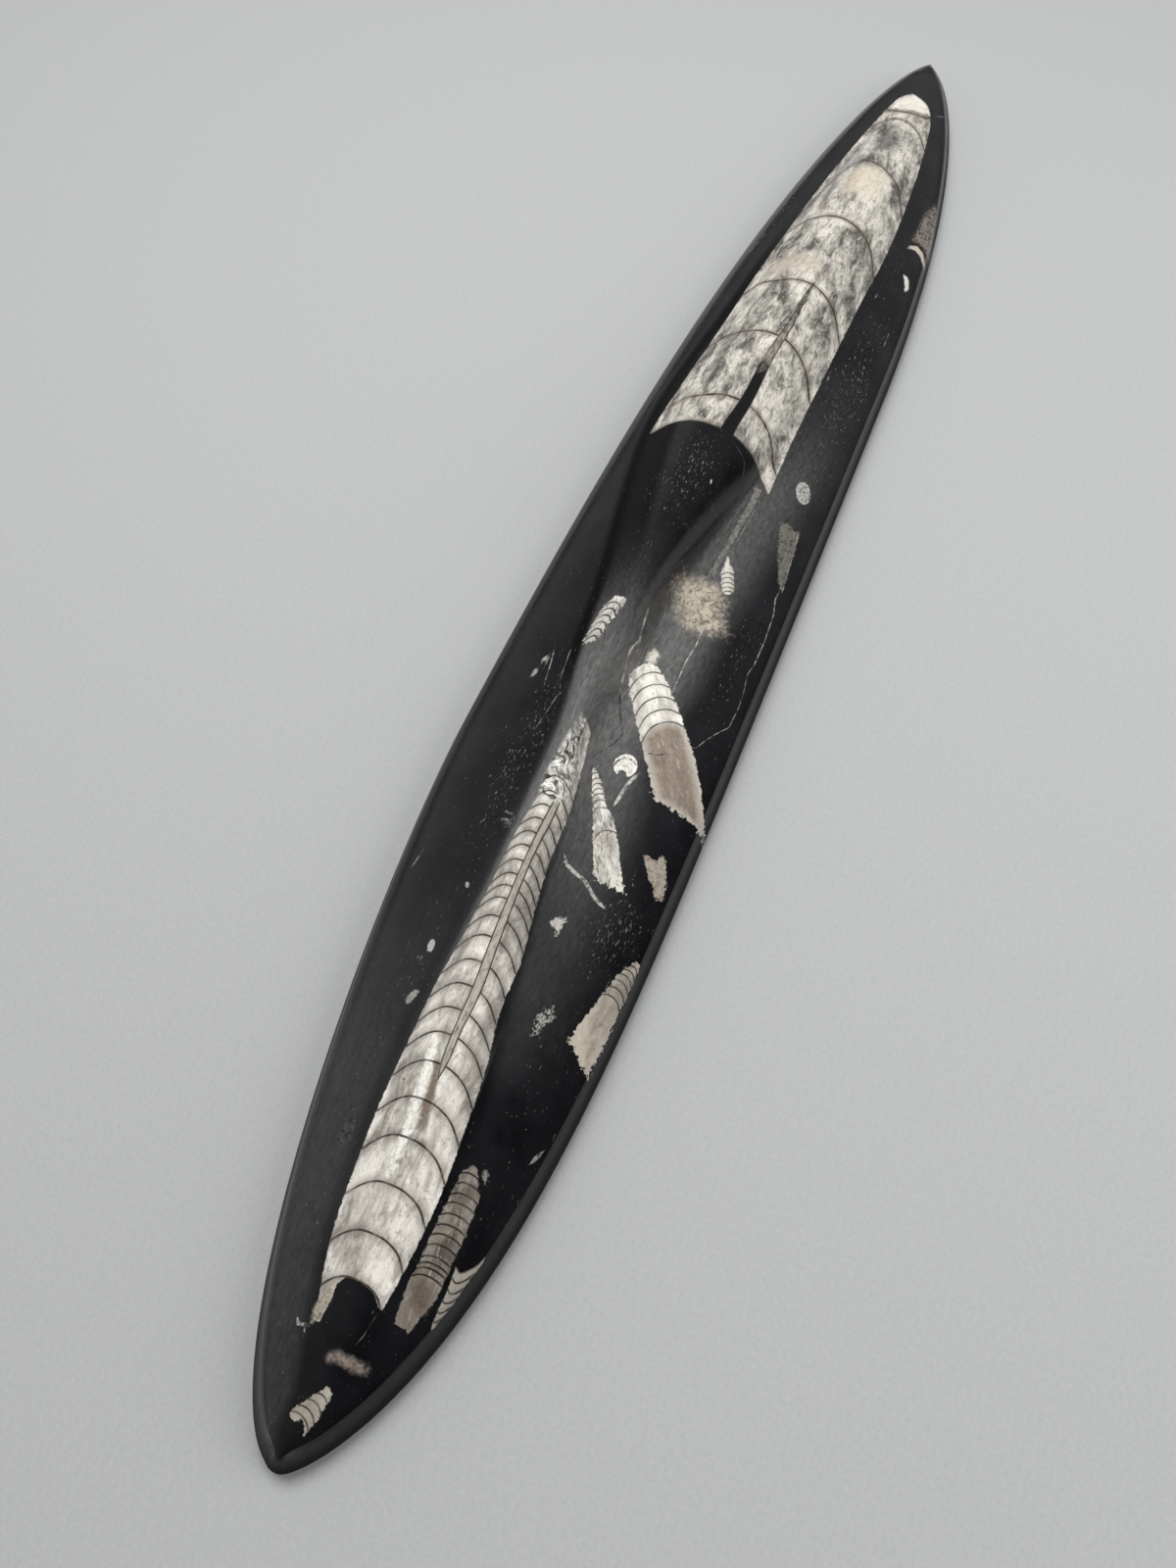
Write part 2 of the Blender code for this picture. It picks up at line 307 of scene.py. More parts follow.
WAIST_CONE = {  # left of the waist
    "tip": (-24.3, 4.2), "mouth": (-32, 6.3), "end": (8.2, 8.4),
    "walls": ((0, -0.7, 1.2), (1, -1.3, 1.55), (2.7, -1.9, 1.6), (4.3, -1.9, 1.6), (7, -1.6, 1.6),
              (8.4, -1.3, 1.5)),
    "septa": (1.3, 2.5, 3.7, 4.9, 6.1, 7.3),
    "arc": (0.55, 0.25, 0.05, 0, 0.05, 0.25, 0.55),
    "line": 0.15, "grain": (1, 0.9, 0.2), "ragged": 0.5, "seed": 47,
    "body": "#E4E0D8", "cloud": "#5F5C57",
}
SMALLEST_CONE = {  # in the valley
    "tip": (-5.8, -7.6), "mouth": (-13.4, -10.4), "end": (8, 8),
    "walls": ((0, -0.1, 0.2), (2, -0.4, 0.5), (3.2, -0.9, 1), (5, -1.1, 1), (7.4, -0.8, 0.85),
              (8, -0.5, 0.5)),
    "septa": (3.6, 4.6, 5.6, 6.5, 7.3),
    "arc": (0.5, 0.25, 0.05, 0, 0.05, 0.25, 0.5),
    "line": 0.1, "grain": (0.6, 0.6, 0), "ragged": 0.3, "seed": 53,
    "body": "#CFCABF", "cloud": "#8A8780",
}
SHELLS = (
    LARGE_CONE, SLENDER_CONE, LEANING_CONE, THIN_CONE, RIM_CONE, BANDED_CONE, CUT_CONE,
    END_CONE, WAIST_CONE, SMALLEST_CONE,
)

# Where black stone shows through a fossil: closed outlines.
HOLES = (
    ((-128.7, -0.5), (-127.6, -1.2), (-127.4, -3.1), (-127.9, -5.2), (-129.2, -6.5), (-129.6, -8.5),
     (-134.1, -8.5), (-134.1, -1.5), (-136.5, -1.5), (-136.5, 2.5), (-134.4, 1.8), (-133.8, 0.6),
     (-133.2, -0.4), (-132, -0.5), (-130.8, -0.7)),
    ((-56, -14), (-53.2, -14.2), (-52.6, -15.1), (-53.4, -15.9), (-52.7, -16.8), (-53.8, -17.8),
     (-53.2, -18.7), (-56, -18.8)),
    ((-51.8, -6.4), (-50.3, -6.1), (-50, -6.5), (-49.9, -7.1), (-50.4, -7.4), (-51.6, -7.5)),
    ((-145.5, -1.6), (-143.9, -2.5), (-143.4, -3.2), (-143.8, -3.9), (-146, -4)),
)


def oval(x, y, along, across, turn=0.0):
    """The outline of an oval, turned by some degrees."""
    turn = np.radians(turn)
    angles = np.radians(np.arange(0, 360, 30))
    a, b = along * np.cos(angles), across * np.sin(angles)
    return tuple(zip(x + a * np.cos(turn) - b * np.sin(turn), y + a * np.sin(turn) + b * np.cos(turn)))


# Patches without chambers: outline, how clouded, how fine the clouds, how ragged and soft the edge, colours.
PATCHES = (
    # the cream patch at the waist
    (((-12.5, -2.9), (-11.5, -5.2), (-12.7, -8.5), (-15.1, -10.2), (-18, -10.8), (-20.4, -12.1),
      (-21.7, -9.6), (-21.9, -6.3), (-19.3, -4), (-15.6, -2.3)), 1, 0.8, 1.6, 1.6, "#BAB1A1", "#5F564B"),
    # the notched tan stub
    (((-61.5, -14.5), (-60.9, -14.9), (-61.2, -15.7), (-60.9, -16.5), (-60.2, -16.8), (-59.7, -16.9),
      (-60.6, -17.6), (-62.8, -18.7), (-65.8, -19.4), (-66.3, -18.3), (-63.9, -16.3)),
     1, 1, 0.5, 0.1, "#A89D91", "#6F665C"),
    # the cap beside the leaning cone, and the cream tip above it
    (oval(-49.1, -6.7, 2, 1.85, 15), 0.8, 1, 0.1, 0.05, "#EDEAE2", "#A09D95"),
    (oval(-28.8, -3.3, 1.5, 0.9, 10), 0.6, 1, 0.5, 0.4, "#E2DCCF", "#8E8A80"),
    # beside the slender cone
    (((-76.1, -5.8), (-75.1, -6.6), (-74.7, -8.2), (-76.1, -7.8), (-77.6, -7.7), (-76.5, -6.8)),
     0.8, 1, 0.6, 0.15, "#C9C5BD", "#7F7C76"),
    (((-110.1, -11.2), (-109.5, -11.8), (-110.2, -12.2), (-111.3, -12.3)),
     0.8, 1, 0.3, 0.15, "#8F8B83", "#45423E"),
    (((-86.9, -11.3), (-87.6, -10.2), (-89.5, -9.7), (-91.8, -9.7), (-91.2, -10.5), (-89.6, -11.2),
      (-88.2, -12.1)), 1.8, 1.5, 0.6, 0.15, "#9B9892", "#141416"),
    (oval(-126, -10.4, 2.1, 1.15, 20), 0.6, 1, 0.3, 0.7, "#6E6258", "#4A4139"),
    # what is left of its last chamber
    (((-129.6, 0.3), (-129.3, -0.3), (-130.9, -0.6), (-133, -0.3), (-133.8, 0.5), (-132.6, 0.9),
      (-131, 0.8)), 1.2, 1.2, 0.2, 0.25, "#A9A093", "#5F584F"),
    # the grey oval and the shard on the right
    (oval(12.6, -15.1, 2.35, 1.35, 18), 1, 1.6, 0, 0.06, "#B1B0AB", "#2B2A28"),
    (((4.7, -13.6), (5.2, -14.8), (4.4, -16), (4.8, -17.1), (0.1, -17.5), (-4.7, -17.9), (-7.9, -18.2),
      (-6.8, -17.1), (-2.3, -15.4), (2, -14.2)), 1, 1, 0.5, 0.2, "#706C65", "#363432"),
    (oval(3.9, -15, 0.9, 0.8), 0.6, 1, 0.5, 0.3, "#A19D94", "#5E5B55"),
    # along the right rim: a comma, a crescent and what lies beyond it
    (((73.7, -16.2), (73.9, -17), (72.8, -17.8), (70.8, -18.2), (69.8, -17.7), (71.4, -17.3), (72.7, -16.8)),
     0.5, 1.5, 0.2, 0.2, "#D9D6CF", "#8E8B84"),
    (((81, -15), (82.4, -15.4), (83.4, -16.6), (82.9, -18.2), (81, -19.3), (79.3, -19.7), (80.4, -18.9),
      (81.6, -17.8), (81.9, -16.6), (81.5, -15.7)), 0.6, 1.5, 0.2, 0.25, "#C9BDB1", "#857A70"),
    (((84.2, -15.3), (88, -15.6), (93, -15.5), (98.5, -16.8), (96, -17.6), (91, -18.6), (86, -19.5),
      (83.6, -19.6), (84.5, -17.4)), 1.3, 1.3, 0.7, 0.6, "#8A8279", "#1F1E1D"),
    # small oval marks on the left shoulder
    (oval(-85.7, 7.7, 1, 0.5, 10), 0.3, 1, 0.2, 0.08, "#B1B0AC", "#6C6B67"),
    (oval(-93.2, 7, 1.2, 0.55, -20), 0.8, 1.5, 0.3, 0.1, "#96958F", "#4A4947"),
    (oval(-75.6, 6.9, 0.5, 0.3, 30), 0.3, 1, 0.2, 0.1, "#9E9C96", "#5E5C58"),
    (oval(-64.7, 5.6, 0.9, 0.8), 1.4, 1.5, 0.5, 0.2, "#4B4A47", "#121214"),
    (oval(-112.3, 6.9, 1.7, 0.8), 1.6, 1.3, 0.5, 0.4, "#4A4947", "#151517"),
    # the tan fragment near the lower end and its neighbours
    (((-135.9, -2.9), (-135.2, -4), (-135.2, -6.2), (-135.5, -8.3), (-136.3, -8.1), (-136.6, -6.4),
      (-136.4, -4.6), (-136.7, -3.3)), 1.2, 1.3, 0.25, 0.4, "#8C8077", "#3F3832"),
    # clouds inside the large cone
    (((129.5, -3.2), (127.3, -6.6), (124.8, -7.9), (122.6, -6.6), (121.9, -3.2), (123, 0.1), (126.5, -0.6)),
     0.8, 0.5, 0.3, 0.5, "#EFE8DD", "#C9C0B4"),
    (((122, 1), (121.2, -3.6), (123, -7.5), (122.2, -8.2), (119.9, -4.3), (120.6, 1.2)),
     0.8, 0.7, 0.5, 0.5, "#968E84", "#6F685F"),
    (oval(106, -3.4, 4.4, 2.4), 1, 0.7, 0.9, 1.8, "#7F7D78", "#3F3E3B"),
    (oval(88.3, -2.4, 5.4, 3.6), 0.9, 0.9, 0.9, 3.4, "#DBD0BC", "#B9AE9C"),
    (oval(58, 2.5, 2.6, 5), 0.9, 0.9, 0.8, 2.2, "#C9BFAF", "#958C7F"),
    (((77, 2), (84, 2.9), (92, 3.1), (97.5, 4.2), (99, 5.2), (92, 4.1), (84, 3.6), (77.5, 2.9)),
     0.9, 1.3, 0.6, 0.45, "#8C8379", "#4B433D"),
    (oval(119, -6.3, 1.6, 1.2), 0.9, 0.7, 0.5, 0.8, "#A69C8F", "#7A7167"),
    # a painted highlight, the white streak of reflected light along the slender cone, and the brown stain
    # beside it
    (((-97.5, 1.1), (-101.7, 0.4), (-106, -0.2), (-110.3, -0.6), (-115.3, -0.8), (-115.3, -1.4),
      (-110.3, -1.6), (-106, -1.2), (-101.7, -0.6), (-97.5, 0.3)), 0.6, 1, 0.9, 0.5, "#FBF8F1", "#C9C4BA"),
    (((-100.4, -0.8), (-104.9, -1.4), (-108.8, -1.9), (-109, -2.7), (-104.9, -2.5), (-100.6, -1.7)),
     0.5, 1, 0.4, 0.4, "#7C6F61", "#5E5449"),
    # a paler strip at the ridge's right foot
    (((10.8, -7), (8, -7.3), (-1, -6.7), (-12.7, -5.9), (-13.5, -6.4), (0.8, -7.9), (9.5, -8.5)),
     1, 1, 0.8, 0.25, "#807E79", "#4F4D4A"),
    # a painted highlight: the glint of light in a pit in the polished chamber
    (oval(3, -1, 0.5, 0.2, 25), 0, 1, 0, 0.05, "#FFFFFF", "#FFFFFF"),
)

# Fine lines: half width, strength, and the points they pass through.
VEINS = (
    (0.05, 0.65, ((-44.4, -12), (-42.6, -13.6), (-41.6, -15.3), (-39.3, -16.3), (-37.3, -17.4),
                  (-35.4, -18.6), (-31.1, -18.8), (-28.3, -18.6), (-25.2, -18.1))),
    (0.08, 0.7, ((-25.2, -18.1), (-23, -18.5), (-18.2, -18.6), (-12.6, -18.3), (-9.7, -17.6),
                 (-7.2, -17.8))),
    (0.1, 0.9, ((-20, -8.9), (-25, -9), (-27.8, -8.6), (-32, -8.6), (-34.6, -8.7))),
    (0.1, 0.7, ((-35.2, -8.7), (-37.7, -8.9), (-40.6, -8.9), (-43.1, -8.7))),
    (0.12, 0.9, ((-22.9, -0.1), (-26.3, -0.4), (-28.1, -0.7), (-30.4, -0.2), (-32.3, -0.2), (-33.6, -0.5),
                 (-36.1, -0.7))),
    (0.28, 1, ((-49.6, -9), (-52, -8.1), (-55.9, -7.6))),
    (0.28, 0.75, ((-65.6, -3.8), (-66.9, -4.6), (-67.8, -6.3), (-68.4, -8.1), (-70.3, -10.4),
                  (-71.2, -12.3))),
    (0.05, 0.5, ((6.3, -8.8), (1, -8.4), (-3.2, -8))),
    (0.04, 0.5, ((-130.1, -6.5), (-131.2, -6.3), (-132.5, -6.1), (-133.7, -5.7))),
    (0.07, 0.8, ((-40.8, 10.3), (-36.8, 10.9), (-32.8, 11.7))),
    (0.06, 0.7, ((-38.9, 8.4), (-32.7, 9))),
    (0.06, 0.6, ((-48.2, 8.3), (-41.6, 7.6))),
    (0.42, 0.6, ((-40, 12.9), (-37.9, 12.5))),
    (0.42, 0.6, ((-37.2, 12.4), (-35.4, 12))),
    (0.25, 0.5, ((-106.6, -16.4), (-104.4, -17.3))),
    (0.05, 0.25, ((12, -2), (11.7, -3.4), (11.1, -4.4), (9.2, -4.9))),
    (0.08, 0.5, ((125.4, -9.2), (128.5, -11.4))),
    (0.14, 0.4, ((-63.1, 6.9), (-63, 5.6), (-64.2, 4.5))),
    (0.12, 0.4, ((-64.5, 6.8), (-64.1, 5.8), (-65.2, 4.8))),
    (0.2, 0.8, ((-133.7, 2.5), (-134.5, 2), (-134.2, 1), (-135.1, 0.8))),
    (0.1, 0.5, ((4.8, -17), (0.1, -17.5), (-4.7, -17.9), (-7.9, -18.2))),
    (0.1, 0.5, ((57.5, -18), (53.7, -18.1))),
    (0.12, 0.5, ((65.5, -13.2), (63.8, -13.1))),
    (0.12, 0.45, ((41.5, -11), (38.6, -11.2))),
    (0.1, 0.5, ((-72, 15.7), (-75.4, 16.2))),
    (0.1, 0.4, ((75.7, 12.6), (72, 13.2), (68.8, 14))),
)

CRACKS = (
    (0.09, 0.9, ((11.4, -6.7), (8, -7.1), (-1, -6.5), (-12.7, -5.7))),
    (0.08, 0.8, ((10.6, -8.7), (0.8, -8.1), (-13, -6.7))),
    (0.14, 0.9, ((-36.6, -0.8), (-40.3, -2.3), (-44.2, -4.3), (-46.2, -3.6), (-49.3, -1.2))),
    (0.12, 0.9, ((-46.6, -8.6), (-45.8, -9.3), (-45.7, -10.3), (-44.7, -11.7))),
    (0.16, 0.95, ((-50.2, -5), (-48.9, -5.2), (-47.9, -6), (-47.8, -7.1), (-48.5, -8.3))),
    (0.12, 0.8, ((-50.6, -1.9), (-52.6, -2.6), (-54.6, -3.4))),
    (0.12, 0.8, ((-50.9, -2.5), (-51.7, -3.6), (-52.6, -4.4))),
    (0.07, 0.45, ((53.4, -3.2), (57, -6.4), (63.6, -11))),
    (0.1, 0.7, ((112, -9.4), (106, -10.3), (100.6, -10.8))),
    (0.15, 0.7, ((-103.6, 3.3), (-103.9, 2.2), (-104.3, 1.4))),
    (0.12, 0.7, ((-107.2, 3.4), (-107.6, 2.3))),
    (0.14, 0.6, ((-108.6, -5.2), (-109.2, -6))),
    (0.07, 0.4, ((-22.8, -5.4), (-29, -5))),
)

SATIN = (  # x, how much duller the polish is right of the ridge, on its back, and left of the slender cone; this also greys the stone, partly with painted sheen
    (-100, 0, 0, 0),
    (-90, 0.08, 0, 0.4),
    (-75, 0.15, 0, 0.8),
    (-62, 0.35, 0.3, 1),
    (-50, 0.6, 0.8, 1),
    (-35, 0.75, 0.7, 0.8),
    (-18, 0.68, 0.1, 0),
    (-8, 0.52, 0, 0),
    (10, 0.36, 0, 0),
    (26, 0.12, 0, 0),
    (45, 0, 0, 0),
)
SATIN_FADES = (4, 13)  # right of the ridge's foot
HAZE = 0.14  # how much duller the left shoulder's polish is at the lower end, which also greys it, partly with painted sheen
HAZE_STARTS = (0.8, 3)  # left of the ridge's foot
HAZE_BELOW = (-70, -115)
MATT_ABOVE_RIM = (0.5, 0.1)  # the unpolished rim, drawn darker with painted shade, ends this high above its bevel
MATT_FLANK_LEFT, MATT_FLANK_RIGHT = (3, 1), (-7, -4)  # unpolished and drawn darker with painted shade round the ridge's left foot beside the chamber
MATT_FLANK_LOW, MATT_FLANK_HIGH = (-50, -30), (100, 50)

THINLY_FLECKED = 0.2
FLECKED = (  # middle, reach along and across, and how thick the light flecks lie there
    (-52, 8.5, 26, 3.5, 0.85),
    (-90, 9, 26, 3, 0.5),
    (-73, -15, 9, 4.5, 1),
    (-24, -15.5, 16, 3.5, 0.7),
    (38, -15.5, 34, 4.5, 0.9),
    (70, -14, 20, 3, 0.5),
    (84, 11.3, 13, 1.6, 0.8),
    (2, 3, 14, 6.5, 0.9),
    (-20, 6, 14, 5, 0.7),
    (-98, -12.5, 16, 3, 0.45),
    (-112, 6.5, 14, 3, 0.45),
)
CRYSTALS = ((-45.5, 1.5), (-51, 1.2), (-58.5, 0.9))

SLOPE_STEP = 0.02  # of the half width
TORN_FROM, TORN_FULLY = 2.2, 0.6  # before the end of the shell
TAPER = 0.8  # a fine line thins out over this length, and is looked for this far away


def along_axis(x, y, shell):
    """Distances along and across a shell's axis from its tip."""
    (tip_x, tip_y), (mouth_x, mouth_y) = shell["tip"], shell["mouth"]
    reach = np.hypot(mouth_x - tip_x, mouth_y - tip_y)
    cosine, sine = (mouth_x - tip_x) / reach, (mouth_y - tip_y) / reach
    dx, dy = x - tip_x, y - tip_y
    return dx * cosine + dy * sine, dy * cosine - dx * sine


def septum_lines(shell, across, half):
    """Where each cross wall lies along the axis, at every point."""
    across = np.clip(across, -1.2, 1.2)
    if "lines" in shell:
        return np.array([along_stations(across, tuple(zip(ARC_PLACES, line)), 1) for line in shell["lines"]])
    lag = along_stations(across, tuple(zip(ARC_PLACES, shell["arc"])), 1) * half
    return np.array(shell["septa"])[:, None] + lag[None]


def picked(lines, index):
    return np.take_along_axis(lines, index[None], 0)[0]


def evenly(values, x):
    """The same three values at every point."""
    return [value * np.ones_like(x) for value in values[:3]]


def shell_fields(x, y, shell):
    """Smooth fields of one shell at every point, in threes, from which the material draws it."""
    along, offset = along_axis(x, y, shell)
    low, high = (along_stations(along, shell["walls"], column) for column in (1, 2))
    middle, half = (low + high) / 2, np.maximum((high - low) / 2, 0.3)
    across = (offset - middle) / half
    lines = septum_lines(shell, across, half)
    passed = np.clip(np.sum(along > lines, axis=0) - 1, 0, len(lines) - 2)
    before, after = picked(lines, passed), picked(lines, passed + 1)
    nearest = np.clip(passed + (along - before > after - along), 0, len(lines) - 1)
    beside = picked(septum_lines(shell, across + SLOPE_STEP, half), nearest)
    slope = (beside - picked(lines, nearest)) / (SLOPE_STEP * half)
    pitch = (after - before) / np.hypot(1.0, slope)
    phase = np.clip(passed + (along - before) / (after - before), -0.5, len(lines) - 0.5)
    end = shell["end"][0] + (shell["end"][1] - shell["end"][0]) * np.clip((across + 1) / 2, 0, 1)
    start = lines[0] if shell.get("starts_at_first") else shell["walls"][0][0]
    stop = lines[-1] if shell.get("ends_at_last") else end
    edge = np.minimum(np.minimum(offset - low, high - offset), np.minimum(along - start, stop - along))
    tube = shell.get("tube", ((0.0, 0.0, -1.0, 0.0), (1.0, 0.0, -1.0, 0.0)))
    tube_middle, tube_half, tube_dark = (along_stations(along, tube, column) for column in (1, 2, 3))
    tube_half = np.where((along < tube[0][0]) | (along > tube[-1][0]), -1.0, tube_half)
    same = np.ones_like(along)
    torn = shell.get("torn", 0.0) * smooth_step(along, end - TORN_FROM, end - TORN_FULLY)
    return {
        "outline": (edge, shell["ragged"] * same + torn, along - lines[-1]),
        "septa": (phase, pitch, shell["line"] * same),
        "tube": (offset - tube_middle, tube_half, tube_dark),
        "course": (along, offset, shell["seed"] * same),
        "grain": evenly(shell["grain"], x),
        "body": evenly(colour(shell["body"]), x),
        "cloud": evenly(colour(shell["cloud"]), x),
        "filling": evenly(colour(shell.get("filling", shell["body"])), x),
    }


def from_segment(x, y, start, end):
    """Distance to a segment, the side it lies on, and how far along it the nearest point is."""
    dx, dy = end[0] - start[0], end[1] - start[1]
    length = np.hypot(dx, dy)
    along = np.clip(((x - start[0]) * dx + (y - start[1]) * dy) / length, 0.0, length)
    gap_x, gap_y = x - start[0] - along * dx / length, y - start[1] - along * dy / length
    side = np.where((x - start[0]) * dy - (y - start[1]) * dx >= 0, 1.0, -1.0)
    return np.hypot(gap_x, gap_y), side, along


def from_outline(x, y, outline):
    """Distance to a closed outline, positive inside it."""
    gap, inside = np.full_like(x, np.inf), np.zeros_like(x, dtype=bool)
    for (ax, ay), (bx, by) in zip(outline, outline[1:] + outline[:1]):
        gap = np.minimum(gap, from_segment(x, y, (ax, ay), (bx, by))[0])
        crosses = ((ay > y) != (by > y)) & (x < (bx - ax) * (y - ay) / (by - ay if by != ay else 1.0) + ax)
        inside ^= crosses
    return np.where(inside, gap, -gap)


def patch_fields(x, y, patch):
    outline, clouded, fineness, ragged, soft, body, cloud = patch
    same = np.ones_like(x)
    return {
        "patch": (from_outline(x, y, outline), ragged * same, soft * same),
        "patch_body": evenly(colour(body), x),
        "patch_cloud": evenly(colour(cloud), x),
        "patch_grain": evenly((clouded, fineness, 0.0), x),
    }


def line_fields(x, y, name, lines):
    """Signed distance to the nearest of some fine lines, its tapering half width, and its strength."""
    nearest = np.full_like(x, np.inf)
    offset, width, strength = np.full_like(x, 9.0), np.full_like(x, -1.0), np.zeros_like(x)
    for half, force, points in lines:
        spans = [np.hypot(b[0] - a[0], b[1] - a[1]) for a, b in zip(points, points[1:])]
        passed = 0.0
        for start, end, span in zip(points, points[1:], spans):
            gap, side, along = from_segment(x, y, start, end)
            to_end = np.minimum(passed + along, sum(spans) - passed - along)
            closer = gap < nearest
            nearest = np.where(closer, gap, nearest)
            offset = np.where(closer, side * gap, offset)
            taper = half * np.clip(to_end / TAPER + 0.1, 0.0, 1.0)
            width = np.where(closer, np.where(gap > TAPER, -1.0, taper), width)
            strength = np.where(closer, force, strength)
            passed += span
    return {name: (offset, width, strength)}


def nearest_of(candidates, key):
    """The fields of whichever fossil or patch is nearest to each point."""
    best = None
    for candidate in candidates:
        fields = {name: np.stack(values, axis=1) for name, values in candidate.items()}
        if best is None:
            best = fields
            continue
        nearer = fields[key][:, 0] > best[key][:, 0]
        for name in best:
            best[name][nearer] = fields[name][nearer]
    return best


def smooth_step(value, start, end):
    share = np.clip((value - start) / (end - start), 0.0, 1.0)
    return share**2 * (3 - 2 * share)


def finish_and_painted_light_fields(x, y, z):
    """How much duller the polish is, which greys the stone partly with painted sheen, how much crystal shows,
    how thick the light flecks lie, and where the stone is unpolished and drawn darker with painted shade:
    round the rim above its bevel, and on the ridge's left flank beside the chamber."""
    right_foot, left_foot = along_stations(x, RIDGE, 1), along_stations(x, RIDGE, 2)
    in_valley, on_ridge, beside = (along_stations(x, SATIN, column) for column in (1, 2, 3))
    right_of = right_foot - y
    # painted sheen: this share greys the stone's colour as well as roughening it; the grey is partly the
    # stone's own and partly the soft reflection of the room in the duller polish
    satin_and_painted_sheen = in_valley * smooth_step(right_of, -1.6, 0.4) * (1 - smooth_step(right_of, *SATIN_FADES))
    on_back = smooth_step(right_of, 0.6, -1.6) * smooth_step(left_foot - y, -0.4, 0.8)
    leftward = smooth_step(y - (right_foot + left_foot) / 2, -0.5, 1.5)
    satin_and_painted_sheen = satin_and_painted_sheen + on_back * np.maximum(on_ridge, beside * leftward)
    satin_and_painted_sheen = np.maximum(satin_and_painted_sheen, HAZE * smooth_step(y - left_foot, *HAZE_STARTS) * smooth_step(x, *HAZE_BELOW))
    crystals = np.full_like(x, np.inf)
    for start, end in zip(CRYSTALS, CRYSTALS[1:]):
        crystals = np.minimum(crystals, from_segment(x, y, start, end)[0])
    reach = 0.6 + 1.5 * smooth_step(-x, 45.0, 58.0)
    crystals = 1 - smooth_step(crystals, reach - 0.5, reach + 0.3)
    flecks = np.full_like(x, THINLY_FLECKED)
    for middle_x, middle_y, along, across, thickness in FLECKED:
        away = np.hypot((x - middle_x) / along, (y - middle_y) / across)
        flecks = np.maximum(flecks, thickness * np.exp(-(away**2)))
    # painted shade as well as a rough finish: where this share is high the stone is drawn darker, round the
    # rim and on the ridge's left flank
    flank = smooth_step(y - left_foot, *MATT_FLANK_RIGHT) * smooth_step(y - left_foot, *MATT_FLANK_LEFT)
    flank = flank * smooth_step(x, *MATT_FLANK_LOW) * smooth_step(x, *MATT_FLANK_HIGH)
    ground = np.maximum(flank, smooth_step(z - SIDE_HEIGHT - BEVEL_HEIGHT, *MATT_ABOVE_RIM))
    return {"finish": (satin_and_painted_sheen, crystals, flecks), "ground": (ground, ground, ground)}


def store_fields(stone):
    points = read_points(stone.data) / MM
    x, y, z = points.T
    fossils = nearest_of((shell_fields(x, y, shell) for shell in SHELLS), "outline")
    patches = nearest_of((patch_fields(x, y, patch) for patch in PATCHES), "patch")
    for outline in HOLES:
        hole = from_outline(x, y, outline)
        fossils["outline"][:, 0] = np.minimum(fossils["outline"][:, 0], -hole)
        patches["patch"][:, 0] = np.minimum(patches["patch"][:, 0], -hole)
    rest = line_fields(x, y, "vein", VEINS) | line_fields(x, y, "crack", CRACKS) | finish_and_painted_light_fields(x, y, z)
    rest = {name: np.stack(values, axis=1) for name, values in rest.items()}
    for name, values in {**fossils, **patches, **rest}.items():
        attribute = stone.data.attributes.new(name, "FLOAT_VECTOR", "POINT")
        attribute.data.foreach_set("vector", values.ravel())


# --------------------
# Materials. Patterns lie on the pieces in millimetres.

# Kinds of node: the type, its settings, and the inputs that its values go to in turn, if not the first ones.
NOISE, RANGE, RAMP = (("ShaderNode" + name, {}) for name in ("TexNoise", "MapRange", "ValToRGB"))
PARTS, POSITION = ("ShaderNodeSeparateXYZ", {}), ("ShaderNodeTexCoord", {})
SOFT_RANGE = ("ShaderNodeMapRange", {"interpolation_type": "SMOOTHSTEP"})
TIMES, TIMES_PLUS, PLUS, MINUS, LARGER, SMALLER, SIZE, FRACTION = (
    ("ShaderNodeMath", {"operation": name})
    for name in ("MULTIPLY", "MULTIPLY_ADD", "ADD", "SUBTRACT", "MAXIMUM", "MINIMUM", "ABSOLUTE", "FRACT")
)
TIMES_WITHIN_1 = ("ShaderNodeMath", {"operation": "MULTIPLY", "use_clamp": True})
MINUS_WITHIN_1 = ("ShaderNodeMath", {"operation": "SUBTRACT", "use_clamp": True})
STRETCH = ("ShaderNodeVectorMath", {"operation": "MULTIPLY"})
TOWARDS = ("ShaderNodeVectorMath", {"operation": "DOT_PRODUCT"})
MIX = ("ShaderNodeMix", {"data_type": "RGBA"}, 0, 6, 7)
MIX_NUMBERS = ("ShaderNodeMix", {}, 0, 2, 3)

# Cells of each pattern to the millimetre. The smallest are drawn coarser than they are, so that they show.
BROAD_CLOUDS, BRUSHED_CLOUDS, FINE_STROKES, THREADS = 0.28, 0.7, 1.9, 0.45  # 3.6, 1.4, 0.5 and 2.2 mm
SPECKS, RAGGED_BAYS, WALL_BREAKS, LINE_BREAKS = 2.0, 1.5, 0.6, 0.7  # 0.5, 0.7, 1.7 and 1.4 mm
STONE_CLOUDS, STONE_STREAKS, FLECKS = 0.12, 1.9, 3.6  # 8, 0.5 and 0.3 mm
PATCH_CLOUDS, CRYSTAL_GRAINS = 1.1, 0.6  # 0.9 and 1.7 mm
POLISH_SMEARS, TABLE_GRAIN = 0.25, 1.6  # 4 and 0.6 mm
DRAWN_OUT_CALCITE, DRAWN_OUT_STONE = (0.36, 1.0, 1.0), (0.35, 1.0, 1.0)  # nearly three times as long as wide

EDGE_SOFTNESS = 0.07  # millimetres, as are the next two
TUBE_BORDER = 0.16
WALL_SHADE = (0.1, 1.2)
GLOSS = (0.10, 0.19)  # roughness, as are the next two
SATIN_ROUGHNESS = 0.46
MATT_ROUGHNESS = 0.9


